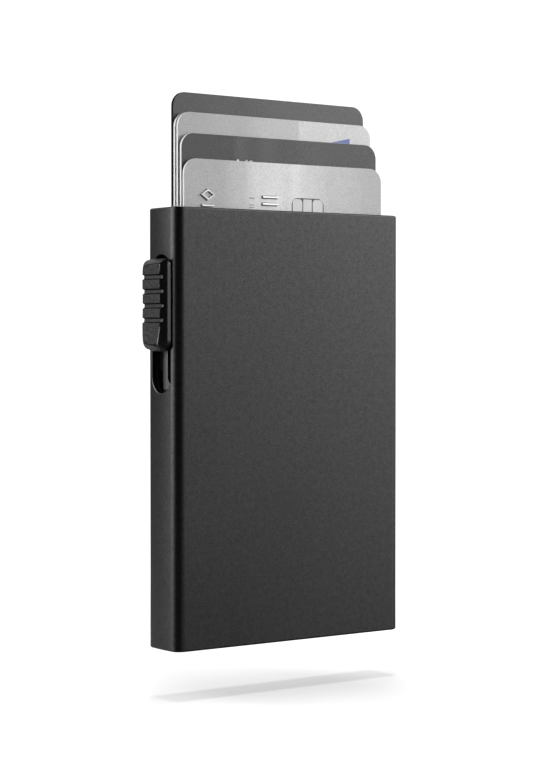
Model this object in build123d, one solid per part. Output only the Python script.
from build123d import *
import math
import os

# Pop-up card case: an aluminium sleeve that holds flat cards. A thumb slider in the
# left narrow side lifts a stepped lever in the bottom, which fans the cards out of
# the mouth. Millimetres. Origin: centre of the case's bottom. +Z: towards the mouth.
# Front (wide) face at -Y, slider side at -X. Drawn with the slider up, cards out.

os.makedirs("parts", exist_ok=True)

# ---- case
CASE_W, CASE_T, CASE_H = 61.4, 11.4, 94.8
WALL = 1.0
CORNER_R = 2.2            # outer vertical corners
CORNER_RI = CORNER_R - WALL
MOUTH_BREAK = 0.4         # softened edge at mouth and bottom
SLOT_W = 7.15             # oblong slot in the left side
SLOT_Z0, SLOT_Z1 = 55.17, 84.64
SLOT_BREAK = 0.2
FIT = 0.05                # gap between liner pieces and the metal

# ---- cards (ISO ID-1)
CARD_W, CARD_L, CARD_T, CARD_R = 53.98, 85.60, 0.76, 3.18
CARD_X0 = -26.99
CARD_DOWN_TOP = 93.6      # every card's top edge when the slider is down
# name: (front-face y at the left edge, yaw in degrees, top z with the slider up)
CARDS = {
    "card_front": (-3.47, 0.0, 105.31),
    "card_middle_dark": (-2.40, 0.90, 110.87),
    "card_light_outer": (-1.10, 1.64, 115.45),
    "card_light_inner": (0.03, 1.64, 115.45),
    "card_rear_dark": (0.87, 2.34, 119.90),
}
LIFT = {n: c[2] - CARD_DOWN_TOP for n, c in CARDS.items()}
CARD_DOWN_BOTTOM = CARD_DOWN_TOP - CARD_L
CHIP_W, CHIP_H, CHIP_R, CHIP_D = 8.5, 10.8, 1.5, 0.30
CHIP_X0, CHIP_TOP_DROP = 1.74, 7.6

# ---- slider
TRAVEL = 8.2
BTN_X, BTN_BASE, BTN_PROUD = -30.75, 0.95, 2.50
BTN_Z0, BTN_Z1 = 64.2, 83.8
BTN_HALF = 4.0
STEM_Y0, STEM_Y1 = 1.60, 3.42   # the narrow tongue that reaches through the liner
GROOVES_Z = (79.89, 76.81, 73.75, 70.67)
GROOVE_W, GROOVE_D = 1.4, 0.45

# ---- lever
PIVOT_X, PIVOT_Z = -25.4, 4.5
PIN_R, BUSH_RI, BUSH_RO, HUB_R = 1.0, 1.05, 1.5, 2.4
LEVER_K1 = 43.0           # contact radius of the rear card's leaf
SWING = LIFT["card_rear_dark"] / LEVER_K1     # radians from slider down to slider up
LEVER_H0 = CARD_DOWN_BOTTOM - PIVOT_Z - 0.10  # top of the leaves above the pivot, lever down
WEB_Z = -2.6
STUD_KS = TRAVEL / SWING  # distance from the pivot at which the stud lifts the lever
STUD_R, STUD_SLOT_R = 0.7, 0.83


def box(x0, x1, y0, y1, z0, z1):
    return Pos((x0 + x1) / 2, (y0 + y1) / 2, (z0 + z1) / 2) * Box(x1 - x0, y1 - y0, z1 - z0)


def slab_z(x0, x1, y0, y1, z0, z1, r):
    """rounded rectangle in plan, standing from z0 to z1"""
    return Pos((x0 + x1) / 2, (y0 + y1) / 2, z0) * extrude(
        RectangleRounded(x1 - x0, y1 - y0, r), amount=z1 - z0
    )


def slab_x(x0, x1, y0, y1, z0, z1, r, taper=0.0):
    """rounded rectangle seen from the side, from x1 out to x0 (towards -X)"""
    plane = Plane(origin=(x1, (y0 + y1) / 2, (z0 + z1) / 2), x_dir=(0, 1, 0), z_dir=(-1, 0, 0))
    return extrude(plane * RectangleRounded(y1 - y0, z1 - z0, r), amount=x1 - x0, taper=taper)


def slab_y(x0, x1, y0, y1, z0, z1, r):
    """rounded rectangle seen from the front, from y1 to y0 (towards -Y)"""
    plane = Plane(origin=((x0 + x1) / 2, y1, (z0 + z1) / 2), x_dir=(1, 0, 0), z_dir=(0, -1, 0))
    return extrude(plane * RectangleRounded(x1 - x0, z1 - z0, r), amount=y1 - y0)


def cyl_y(x, z, r, y0, y1):
    return Pos(x, (y0 + y1) / 2, z) * Rot(90, 0, 0) * Cylinder(r, y1 - y0)


def cyl_x(y, z, r, x0, x1):
    return Pos((x0 + x1) / 2, y, z) * Rot(0, 90, 0) * Cylinder(r, x1 - x0)


def prism_y(edges, y0, y1):
    """closed outline drawn in the XZ plane at y0, thickened to y1"""
    return extrude(make_face(edges), amount=y1 - y0, dir=(0, 1, 0))


def poly(points):
    return Polyline(*points, close=True)


def save(name, shape):
    export_step(shape, f"parts/{name}.step")


HX, HY = CASE_W / 2, CASE_T / 2
IX, IY = HX - WALL, HY - WALL

# ================================================================ case sleeve
outer = slab_z(-HX, HX, -HY, HY, 0, CASE_H, CORNER_R)
ring_edges = outer.edges().filter_by(lambda e: e.center().Z < 0.01) + outer.edges().filter_by(
    lambda e: e.center().Z > CASE_H - 0.01
)
outer = fillet(ring_edges, MOUTH_BREAK)
inner = slab_z(-IX, IX, -IY, IY, -1, CASE_H + 1, CORNER_RI)
slot = slab_x(-HX - 1, -IX + 1, -SLOT_W / 2, SLOT_W / 2, SLOT_Z0, SLOT_Z1, SLOT_W / 2 - 0.001)
slot_break = slab_x(
    -HX - 0.3, -HX + SLOT_BREAK,
    -SLOT_W / 2, SLOT_W / 2, SLOT_Z0, SLOT_Z1,
    SLOT_W / 2 - 0.001, taper=-45,
)
sleeve = outer - inner - slot - slot_break
save("case_sleeve", sleeve)

# ================================================================ bottom cap with pivot ears
cap = slab_z(-IX + FIT, IX - FIT, -IY + FIT, IY - FIT, 0.0, 1.6, CORNER_RI - FIT)
cap = cap - slab_z(-20.0, 26.0, -3.3, 3.3, -1.0, 0.6, 1.0)
for ear_y0, ear_y1 in ((-3.85, -3.0), (3.25, 4.6)):
    ear = box(PIVOT_X - 2.6, PIVOT_X + 2.6, ear_y0, ear_y1, 1.2, PIVOT_Z)
    ear = ear + cyl_y(PIVOT_X, PIVOT_Z, 2.6, ear_y0, ear_y1)
    cap = cap + ear
# low rim that stiffens the cap under the cards
for rim_y0, rim_y1 in ((-4.6, -4.1), (4.1, 4.6)):
    cap = cap + box(-20.0, 28.3, rim_y0, rim_y1, 1.5, 2.6)
cap = cap - cyl_y(PIVOT_X, PIVOT_Z, PIN_R, -5, 5)
save("bottom_cap", cap)

pin = cyl_y(PIVOT_X, PIVOT_Z, PIN_R, -3.80, 4.58)
pin = chamfer(pin.edges().filter_by(GeomType.CIRCLE), 0.15)
save("pivot_pin", pin)

# ================================================================ liner on the slider side
GUIDE_X0, GUIDE_X1 = -IX + FIT, -IX + 0.65
COVER_X0, COVER_X1 = -28.0, -27.4
CHANNEL_Z0, CHANNEL_Z1 = 16.0, 93.5
guide = slab_z(GUIDE_X0, GUIDE_X0 + 4.0, -IY + FIT, IY - FIT, CHANNEL_Z0, CHANNEL_Z1, CORNER_RI - FIT)
guide = guide - box(COVER_X0, GUIDE_X0 + 5.0, -6, 6, 0, 100)
guide = guide - box(GUIDE_X1, COVER_X0 + 0.1, -4.0, 4.0, 0, 100)
# window that the slider's stem passes through, set towards the back
guide = guide - slab_x(GUIDE_X0 - 1, GUIDE_X1 + 1, 1.45, 3.57, 55.9, 84.0, 1.05)
# the slot shows a crowned bar beside the window, and a groove in front of it
BAR_R, BAR_Y = 3.9, -0.4
guide = guide - box(GUIDE_X0 - 1, GUIDE_X0 + 0.45, -2.4, -1.05, 57.1, 86.0)
guide = guide - (
    box(GUIDE_X0 - 1, GUIDE_X0 + 0.46, -1.06, 1.6, 54.0, 86.0)
    - Pos(GUIDE_X0 + BAR_R, BAR_Y, 70.0) * Cylinder(BAR_R, 80.0)
)
# relief for the detent bump in the rear rib, deeper at the two stations
guide = guide - box(GUIDE_X1, COVER_X0 + 0.1, 3.9, 4.42, 58.0, 82.0)
for zc in (72.0, 72.0 - TRAVEL):
    guide = guide - cyl_x(4.36, zc, 0.42, GUIDE_X1, COVER_X0 + 0.1)
save("slider_guide", guide)

cover = slab_z(COVER_X0, COVER_X1, -4.6, 4.6, CHANNEL_Z0, CHANNEL_Z1, 0.25)
cover = cover - slab_x(COVER_X0 - 1, COVER_X1 + 1, -1.6, 1.6, 24.0, 50.0, 1.5)
save("guide_cover", cover)

# ================================================================ right card guide
rail = slab_z(IX - FIT - 4.0, IX - FIT, -IY + FIT, IY - FIT, 9.0, 93.8, CORNER_RI - FIT)
rail = rail - box(20.0, 27.3, -6, 6, 0, 100)
for i in range(6):
    z0 = 10.4 + i * 13.9
    rail = rail - box(28.2, 30.0, -3.7, 3.7, z0, z0 + 12.7)
save("card_guide_right", rail)

# ================================================================ springs and friction strip
def leaf_spring(xc, crown_y, width):
    """bowed leaf standing on the back wall, crown towards the cards"""
    t = 0.22
    y_wall = IY - 0.04
    rise = y_wall - t - crown_y
    arc = [(43.0 + 40.0 * i / 12, 0.5 * (1 - math.cos(math.pi * i / 6))) for i in range(13)]
    front = [(xc, y_wall - t - rise * p, z) for z, p in arc]
    back = [(xc, y_wall - rise * p, z) for z, p in arc]
    face = make_face([
        Line((xc, y_wall - t, 40.0), front[0]),
        Spline(*front, tangents=((0, 0, 1), (0, 0, 1))),
        Line(front[-1], (xc, y_wall - t, 86.0)),
        Line((xc, y_wall - t, 86.0), (xc, y_wall, 86.0)),
        Line((xc, y_wall, 86.0), back[-1]),
        Spline(*reversed(back), tangents=((0, 0, -1), (0, 0, -1))),
        Line(back[0], (xc, y_wall, 40.0)),
        Line((xc, y_wall, 40.0), (xc, y_wall - t, 40.0)),
    ])
    leaf = extrude(face, amount=width / 2, dir=(1, 0, 0), both=True)
    return leaf


rear_y, rear_yaw, _ = CARDS["card_rear_dark"]


def rear_back(x):
    return rear_y + (x - CARD_X0) * math.tan(math.radians(rear_yaw)) + CARD_T / math.cos(math.radians(rear_yaw))


save("pressure_spring_left", leaf_spring(-15.0, rear_back(-11.5) + 0.08, 7.0))
save("pressure_spring_right", leaf_spring(15.0, rear_back(18.5) + 0.08, 7.0))

felt = slab_y(-24.0, 24.0, -IY + 0.02, -3.60, 84.0, 91.5, 0.8)
save("friction_strip_front", felt)

# ================================================================ slider button, carriage, screws
button = slab_x(BTN_X - BTN_BASE, BTN_X, -BTN_HALF, BTN_HALF, BTN_Z0, BTN_Z1, 1.6)
grip_h = BTN_PROUD - (BTN_BASE + (-HX - BTN_X))
grip_x1 = BTN_X - BTN_BASE
grip_x0 = -HX - BTN_PROUD
grip = slab_x(grip_x0, grip_x1, -BTN_HALF + 0.02, BTN_HALF - 0.02, 64.4, 83.6, 1.6, taper=25.0)
wedge = extrude(
    make_face(Polyline(
        (grip_x0 - 1, -5.0, 70.6), (grip_x0 - 1, -3.75, 70.2), (grip_x0 - 1, -2.3, 65.0),
        (grip_x0 - 1, -2.3, 64.0), (grip_x0 - 1, -5.0, 64.0), close=True)),
    amount=grip_x1 - grip_x0 + 1, dir=(1, 0, 0),
)
grip = grip - wedge
groove_r = ((GROOVE_W / 2) ** 2 + GROOVE_D**2) / (2 * GROOVE_D)
for zc in GROOVES_Z:
    grip = grip - cyl_y(grip_x0 + GROOVE_D - groove_r, zc, groove_r, -6, 6)
stem_wide = slab_x(BTN_X, -29.72, -3.4, 3.4, 64.5, 83.5, 3.38)
stem_thin = slab_x(-29.72, -28.95, STEM_Y0, STEM_Y1, 64.5, 83.5, 0.88)
button = button + grip + stem_wide + stem_thin
CARR_X0, CARR_X1 = -28.95, -28.15
SCREWS_Z, SCREW_Y = (69.0, 79.0), 2.35
SCREW_R, SCREW_HEAD_R = 0.45, 0.85
screws = Part()
for zc in SCREWS_Z:
    shank = cyl_x(SCREW_Y, zc, SCREW_R, -31.0, CARR_X1 - 0.4)
    head = Pos(CARR_X1 - 0.2, SCREW_Y, zc) * Rot(0, 90, 0) * Cone(SCREW_R, SCREW_HEAD_R, 0.4)
    screws = screws + (shank + head)
button = button - screws
save("slider_button", button)
slotted = screws
for zc in SCREWS_Z:
    slotted = slotted - box(CARR_X1 - 0.2, CARR_X1 + 1, SCREW_Y - 0.9, SCREW_Y + 0.9, zc - 0.12, zc + 0.12)
save("button_screws", slotted)

carriage = slab_x(CARR_X0, CARR_X1, -3.92, 3.92, 60.0, 86.0, 0.8)
carriage = carriage - box(-28.65, CARR_X1 + 1, -3.93, -0.6, 59.0, 66.0)   # seat of the drive rod
carriage = carriage + cyl_x(-2.25, 63.0, 0.8, -28.66, CARR_X1)              # stake through the rod
carriage = carriage - box(CARR_X0 - 1, CARR_X1 + 1, 3.35, 6.0, 64.0, 80.0)  # bay of the detent spring
carriage = carriage - screws
save("slider_carriage", carriage)

# ================================================================ detent spring
SPR_T = 0.18
SPR_Y, SPR_RISE = 3.37, 0.80
bump = [(69.0 + 0.5 * i, SPR_RISE * 0.5 * (1 - math.cos(math.pi * i / 6))) for i in range(13)]
bump_top = [(-28.55, SPR_Y + SPR_T + p, z) for z, p in bump]
bump_low = [(-28.55, SPR_Y + p, z) for z, p in bump]
up, down = (0, 0, 1), (0, 0, -1)
detent = extrude(
    make_face([
        Line((-28.55, SPR_Y + SPR_T, 64.1), bump_top[0]),
        Spline(*bump_top, tangents=(up, up)),
        Line(bump_top[-1], (-28.55, SPR_Y + SPR_T, 79.9)),
        Line((-28.55, SPR_Y + SPR_T, 79.9), (-28.55, SPR_Y, 79.9)),
        Line((-28.55, SPR_Y, 79.9), bump_low[-1]),
        Spline(*reversed(bump_low), tangents=(down, down)),
        Line(bump_low[0], (-28.55, SPR_Y, 64.1)),
        Line((-28.55, SPR_Y, 64.1), (-28.55, SPR_Y + SPR_T, 64.1)),
    ]),
    amount=0.35, dir=(1, 0, 0), both=True,
)
save("detent_spring", detent)

# ================================================================ drive rod and stud
stud_x = PIVOT_X + STUD_KS
stud_z = PIVOT_Z + TRAVEL                      # level with the pivot when the slider is down
rod = box(-28.65, -28.15, -3.88, -0.62, stud_z - 1.6, 65.9)
rod = rod + box(-28.65, -28.15, -4.55, -0.62, stud_z - 1.6, stud_z + 1.6)
rod = rod + box(-28.65, stud_x, -4.55, -4.0, stud_z - 1.6, stud_z + 1.6)
rod = rod + cyl_y(stud_x, stud_z, 1.6, -4.55, -4.0)
rod = rod - cyl_x(-2.25, 63.0, 0.8, -29.5, -27.5)
rod = rod - cyl_y(stud_x, stud_z, 0.5, -5, -3)
save("drive_rod", rod)
stud = cyl_y(stud_x, stud_z, STUD_R, -4.0, 0.4) + cyl_y(stud_x, stud_z, 0.5, -4.55, -3.9)
save("drive_stud", stud)

# ================================================================ ejector lever
def swing(x, z, a):
    """lever coordinates (pivot at origin, lever down) carried round by angle a, in the row"""
    c, s = math.cos(a), math.sin(a)
    return (PIVOT_X + x * c - z * s, PIVOT_Z + x * s + z * c)


def leaf(k, x_start, y0, y1, web=WEB_Z):
    """one step of the lever: its curved end lifts a flat card edge by k per radian"""
    n = 14
    curve = []
    for i in range(n + 1):
        a = (SWING + 0.02) * i / n
        h = LEVER_H0 + k * a
        curve.append((h * math.sin(a) + k * math.cos(a), h * math.cos(a) - k * math.sin(a)))
    tip = curve[-1]
    top_l = (x_start, LEVER_H0 - 0.12)
    pts = lambda seq: [(swing(x, z, SWING)[0], y0, swing(x, z, SWING)[1]) for x, z in seq]
    start, c_first = pts([top_l])[0], pts([curve[0]])[0]
    curve3 = pts(curve)
    low = pts([(tip[0] - 1.2, web + 0.2), (tip[0] - 3.0, web), (x_start, web)])
    face = make_face([
        Line(start, c_first),
        Spline(*curve3),
        Polyline(curve3[-1], *low, start),
    ])
    return extrude(face, amount=y1 - y0, dir=(0, 1, 0))


K = {n: LIFT[n] / SWING for n in CARDS}
hub = cyl_y(PIVOT_X, PIVOT_Z, HUB_R, -2.85, 3.10)
lever = hub
lever = lever + leaf(K["card_middle_dark"], 0.0, -2.60, -0.75)
lever = lever + leaf(K["card_light_outer"], 0.0, -0.76, 2.35)
lever = lever + leaf(K["card_rear_dark"], 4.2, 2.34, 4.00)
lever = lever + leaf(K["card_front"], 17.4, -3.75, -2.59)
# oblong slot that the drive stud works in
slot_pts = []
for i in range(9):
    a = SWING * i / 8
    zc = STUD_KS * a                            # the stud's height above the pivot
    c, s = math.cos(-a), math.sin(-a)
    slot_pts.append((STUD_KS * c - zc * s, STUD_KS * s + zc * c))
p0, p1 = slot_pts[0], slot_pts[-1]
d = math.hypot(p1[0] - p0[0], p1[1] - p0[1])
ux, uz = (p1[0] - p0[0]) / d, (p1[1] - p0[1]) / d
r = STUD_SLOT_R
left = [(x - uz * r, z + ux * r) for x, z in slot_pts]
right = [(x + uz * r, z - ux * r) for x, z in slot_pts]
to3 = lambda q: (swing(q[0], q[1], SWING)[0], -3.0, swing(q[0], q[1], SWING)[1])
slot_face = make_face([
    Spline(*[to3(q) for q in left]),
    ThreePointArc(to3(left[-1]), to3((p1[0] + ux * r, p1[1] + uz * r)), to3(right[-1])),
    Spline(*[to3(q) for q in reversed(right)]),
    ThreePointArc(to3(right[0]), to3((p0[0] - ux * r, p0[1] - uz * r)), to3(left[0])),
])
lever = lever - extrude(slot_face, amount=3.7, dir=(0, 1, 0))
# lightening windows
for wx0, wx1, wy0, wy1 in ((25.6, 31.2, -3.0, 5.0), (33.6, 38.8, -3.0, 5.0)):
    wp = [swing(x, z, SWING) for x, z in ((wx0, -1.4), (wx1, -1.4), (wx1, 1.5), (wx0, 1.5))]
    lever = lever - prism_y(Polyline(*[(x, wy0, z) for x, z in wp], close=True), wy0, wy1)
lever = lever - cyl_y(PIVOT_X, PIVOT_Z, BUSH_RO, -4, 4)
save("ejector_lever", lever)
bush = cyl_y(PIVOT_X, PIVOT_Z, BUSH_RO, -2.85, 3.10) - cyl_y(PIVOT_X, PIVOT_Z, BUSH_RI, -4, 4)
save("lever_bush", bush)

# ================================================================ cards
def card(y, yaw, top):
    plate = slab_y(0, CARD_W, 0, CARD_T, top - CARD_L, top, CARD_R)
    return Pos(CARD_X0, y, 0) * Rot(0, 0, yaw) * plate


for name, (y, yaw, top) in CARDS.items():
    body = card(y, yaw, top)
    if name == "card_front":
        chip = slab_y(CHIP_X0, CHIP_X0 + CHIP_W, y, y + CHIP_D, top - CHIP_TOP_DROP - CHIP_H, top - CHIP_TOP_DROP, CHIP_R)
        body = body - chip
        save("chip_front", chip)
    save(name, body)

print({n: (round(v, 3), round(K[n], 3), round(v / TRAVEL, 5)) for n, v in LIFT.items()}, "swing", SWING, SWING / TRAVEL * 1000)
